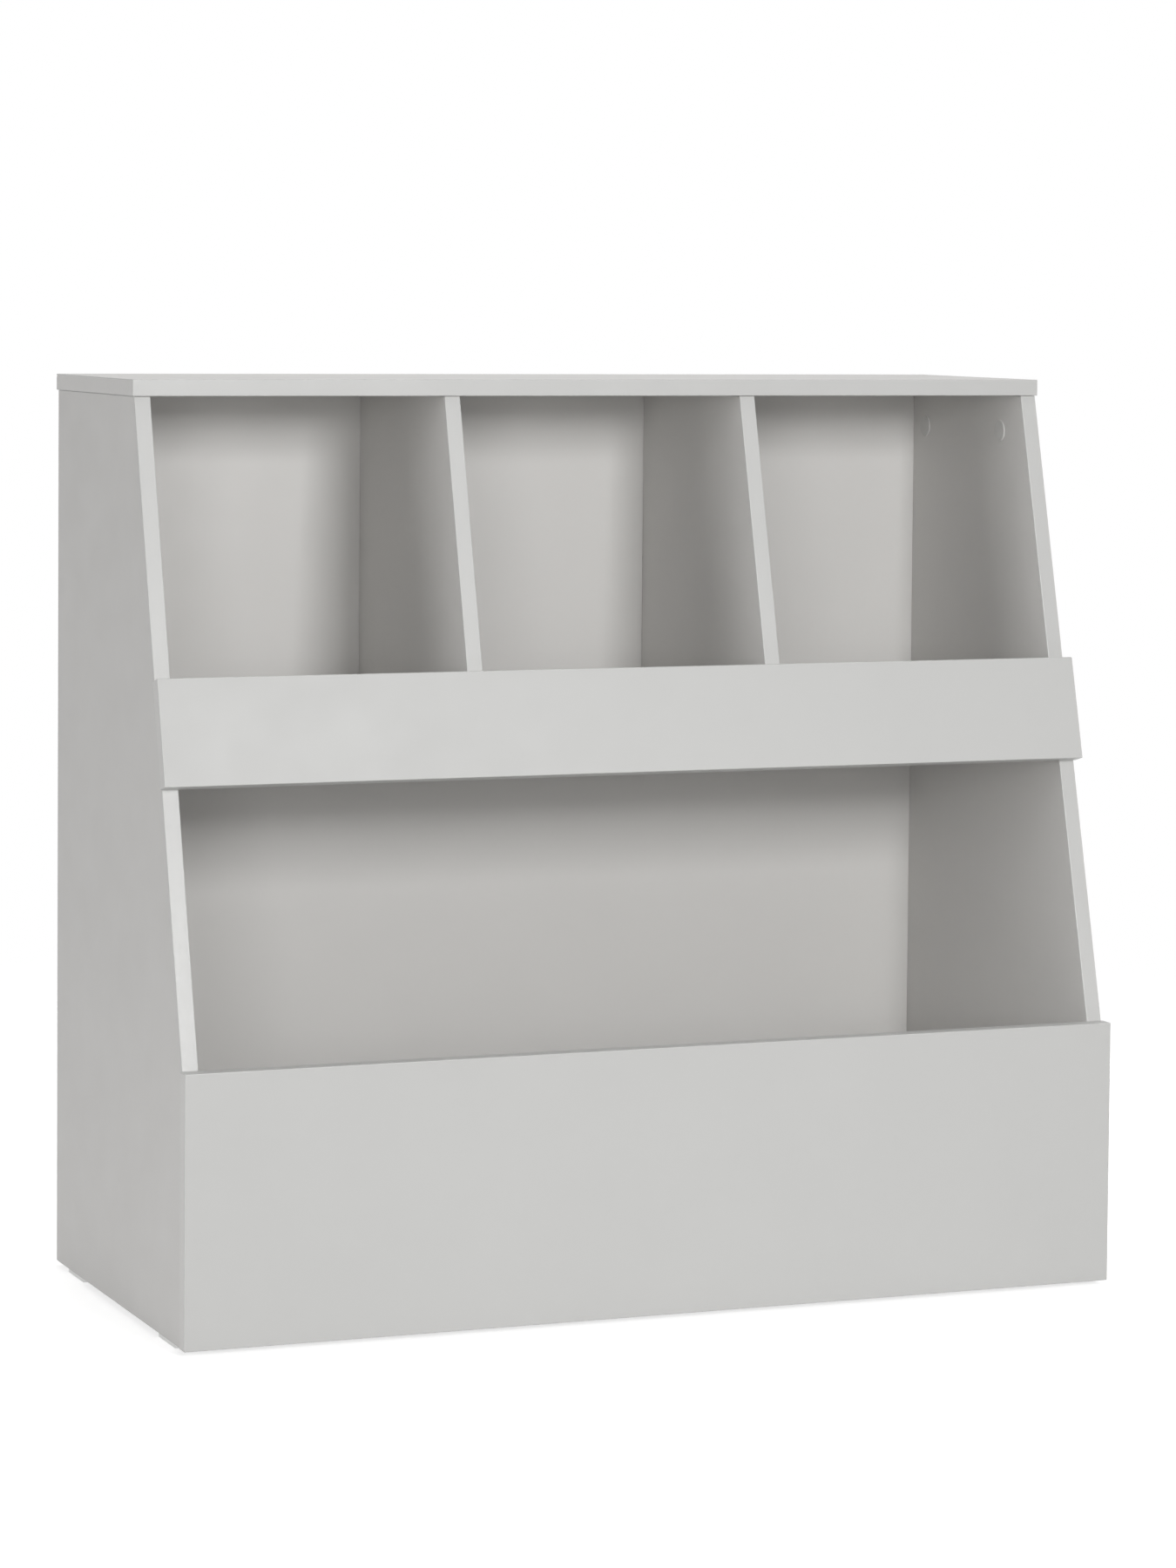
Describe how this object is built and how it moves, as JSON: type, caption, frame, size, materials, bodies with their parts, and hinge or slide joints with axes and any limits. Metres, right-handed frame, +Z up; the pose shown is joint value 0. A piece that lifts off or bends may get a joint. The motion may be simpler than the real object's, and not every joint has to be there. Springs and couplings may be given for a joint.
{
  "type": "picture book browser bin",
  "caption": "Free-standing book browser with raked sides, upper compartments behind a tilted lip and a wide lower bin behind an upright front panel.",
  "frame": {"origin": "on the floor under the middle of the bounding box", "axes": "+X to the right seen from the front, +Y to the back, +Z up; the front panel faces -Y"},
  "size_m": [0.95, 0.44, 0.89],
  "materials": {
    "melamine_board": "light grey melamine-faced particle board with matching edge band, satin",
    "glide_nylon": "pale moulded nylon",
    "cap_plastic": "light grey moulded plastic, satin",
    "cam_zinc": "die-cast zinc, bare",
    "plated_steel": "zinc-plated steel",
    "dowel_beech": "plain beech"
  },
  "bodies": {
    "carcass": {"left_side": "melamine_board", "right_side": "melamine_board", "top_board": "melamine_board", "shelf": "melamine_board", "left_divider": "melamine_board", "right_divider": "melamine_board", "bin_floor": "melamine_board", "upper_lip": "melamine_board", "front_panel": "melamine_board", "back_panel": "melamine_board", "glide_left_front": "glide_nylon", "glide_left_rear": "glide_nylon", "glide_right_front": "glide_nylon", "glide_right_rear": "glide_nylon", "top_left_front_bolt": "plated_steel", "top_left_rear_bolt": "plated_steel", "shelf_left_front_bolt": "plated_steel", "shelf_left_rear_bolt": "plated_steel", "floor_left_front_bolt": "plated_steel", "floor_left_rear_bolt": "plated_steel", "lip_left_bolt": "plated_steel", "front_left_bolt": "plated_steel", "top_right_front_bolt": "plated_steel", "top_right_rear_bolt": "plated_steel", "shelf_right_front_bolt": "plated_steel", "shelf_right_rear_bolt": "plated_steel", "floor_right_front_bolt": "plated_steel", "floor_right_rear_bolt": "plated_steel", "lip_right_bolt": "plated_steel", "front_right_bolt": "plated_steel", "top_left_front_cap": "cap_plastic", "top_left_rear_cap": "cap_plastic", "lip_left_cap": "cap_plastic", "front_left_cap": "cap_plastic", "top_right_front_cap": "cap_plastic", "top_right_rear_cap": "cap_plastic", "lip_right_cap": "cap_plastic", "front_right_cap": "cap_plastic", "left_divider_front_screw": "plated_steel", "left_divider_rear_screw": "plated_steel", "right_divider_front_screw": "plated_steel", "right_divider_rear_screw": "plated_steel", "left_divider_dowel": "dowel_beech", "right_divider_dowel": "dowel_beech"},
    "top_left_front_cam": {"top_left_front_cam": "cam_zinc"},
    "top_left_rear_cam": {"top_left_rear_cam": "cam_zinc"},
    "shelf_left_front_cam": {"shelf_left_front_cam": "cam_zinc"},
    "shelf_left_rear_cam": {"shelf_left_rear_cam": "cam_zinc"},
    "floor_left_front_cam": {"floor_left_front_cam": "cam_zinc"},
    "floor_left_rear_cam": {"floor_left_rear_cam": "cam_zinc"},
    "lip_left_cam": {"lip_left_cam": "cam_zinc"},
    "front_left_cam": {"front_left_cam": "cam_zinc"},
    "top_right_front_cam": {"top_right_front_cam": "cam_zinc"},
    "top_right_rear_cam": {"top_right_rear_cam": "cam_zinc"},
    "shelf_right_front_cam": {"shelf_right_front_cam": "cam_zinc"},
    "shelf_right_rear_cam": {"shelf_right_rear_cam": "cam_zinc"},
    "floor_right_front_cam": {"floor_right_front_cam": "cam_zinc"},
    "floor_right_rear_cam": {"floor_right_rear_cam": "cam_zinc"},
    "lip_right_cam": {"lip_right_cam": "cam_zinc"},
    "front_right_cam": {"front_right_cam": "cam_zinc"}
  },
  "joints": [
    {"name": "top_left_front_cam_turn", "type": "hinge", "parent": "carcass", "child": "top_left_front_cam", "pos_m": [-0.465, 0.002, 0.837], "axis": [1, 0, 0], "range_deg": [0, 180]},
    {"name": "top_left_rear_cam_turn", "type": "hinge", "parent": "carcass", "child": "top_left_rear_cam", "pos_m": [-0.465, 0.175, 0.837], "axis": [1, 0, 0], "range_deg": [0, 180]},
    {"name": "shelf_left_front_cam_turn", "type": "hinge", "parent": "carcass", "child": "shelf_left_front_cam", "pos_m": [-0.42, -0.07269, 0.524], "axis": [0, 0, -1], "range_deg": [0, 180]},
    {"name": "shelf_left_rear_cam_turn", "type": "hinge", "parent": "carcass", "child": "shelf_left_rear_cam", "pos_m": [-0.42, 0.144, 0.524], "axis": [0, 0, -1], "range_deg": [0, 180]},
    {"name": "floor_left_front_cam_turn", "type": "hinge", "parent": "carcass", "child": "floor_left_front_cam", "pos_m": [-0.42, -0.134, 0.047], "axis": [0, 0, -1], "range_deg": [0, 180]},
    {"name": "floor_left_rear_cam_turn", "type": "hinge", "parent": "carcass", "child": "floor_left_rear_cam", "pos_m": [-0.42, 0.15, 0.047], "axis": [0, 0, -1], "range_deg": [0, 180]},
    {"name": "lip_left_cam_turn", "type": "hinge", "parent": "carcass", "child": "lip_left_cam", "pos_m": [-0.465, -0.08936, 0.55251], "axis": [1, 0, 0], "range_deg": [0, 180]},
    {"name": "front_left_cam_turn", "type": "hinge", "parent": "carcass", "child": "front_left_cam", "pos_m": [-0.465, -0.167, 0.133], "axis": [1, 0, 0], "range_deg": [0, 180]},
    {"name": "top_right_front_cam_turn", "type": "hinge", "parent": "carcass", "child": "top_right_front_cam", "pos_m": [0.465, 0.002, 0.837], "axis": [-1, 0, 0], "range_deg": [0, 180]},
    {"name": "top_right_rear_cam_turn", "type": "hinge", "parent": "carcass", "child": "top_right_rear_cam", "pos_m": [0.465, 0.175, 0.837], "axis": [-1, 0, 0], "range_deg": [0, 180]},
    {"name": "shelf_right_front_cam_turn", "type": "hinge", "parent": "carcass", "child": "shelf_right_front_cam", "pos_m": [0.42, -0.07269, 0.524], "axis": [0, 0, -1], "range_deg": [0, 180]},
    {"name": "shelf_right_rear_cam_turn", "type": "hinge", "parent": "carcass", "child": "shelf_right_rear_cam", "pos_m": [0.42, 0.144, 0.524], "axis": [0, 0, -1], "range_deg": [0, 180]},
    {"name": "floor_right_front_cam_turn", "type": "hinge", "parent": "carcass", "child": "floor_right_front_cam", "pos_m": [0.42, -0.134, 0.047], "axis": [0, 0, -1], "range_deg": [0, 180]},
    {"name": "floor_right_rear_cam_turn", "type": "hinge", "parent": "carcass", "child": "floor_right_rear_cam", "pos_m": [0.42, 0.15, 0.047], "axis": [0, 0, -1], "range_deg": [0, 180]},
    {"name": "lip_right_cam_turn", "type": "hinge", "parent": "carcass", "child": "lip_right_cam", "pos_m": [0.465, -0.08936, 0.55251], "axis": [-1, 0, 0], "range_deg": [0, 180]},
    {"name": "front_right_cam_turn", "type": "hinge", "parent": "carcass", "child": "front_right_cam", "pos_m": [0.465, -0.167, 0.133], "axis": [-1, 0, 0], "range_deg": [0, 180]}
  ]
}
